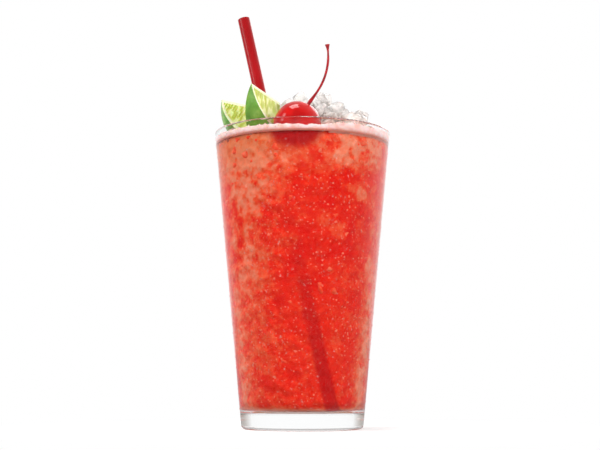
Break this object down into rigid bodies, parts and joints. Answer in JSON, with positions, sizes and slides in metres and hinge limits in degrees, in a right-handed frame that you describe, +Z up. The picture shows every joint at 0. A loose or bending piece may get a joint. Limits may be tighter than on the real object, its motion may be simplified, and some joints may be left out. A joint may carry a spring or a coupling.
{
  "type": "iced lemonade in a tumbler",
  "caption": "Red iced lemonade in a tall conical glass tumbler, heaped with crushed ice, with lime wedges, a stemmed cherry and a drinking straw.",
  "frame": {"origin": "centre of the tumbler's foot, on the surface it stands on", "axes": "+Z up the tumbler's axis; -Y towards the front, where the cherry is; +X to the right as seen from the front"},
  "size_m": [0.0886, 0.0886, 0.2139],
  "materials": {
    "glass": "clear, polished",
    "drink": "clear red liquid with crushed ice in it",
    "ice": "wet, translucent crushed ice",
    "straw": "smooth extruded plastic",
    "cherry": "glossy syrup-coated fruit",
    "stem": "dyed fruit stem",
    "lime": "fresh cut citrus with a waxy rind"
  },
  "bodies": {
    "root": {"glass": "glass", "drink": "drink", "ice_heap": "ice", "straw": "straw", "cherry": "cherry", "cherry_stem": "stem", "lime_front_wedge": "lime", "lime_left_wedge": "lime"}
  },
  "joints": []
}
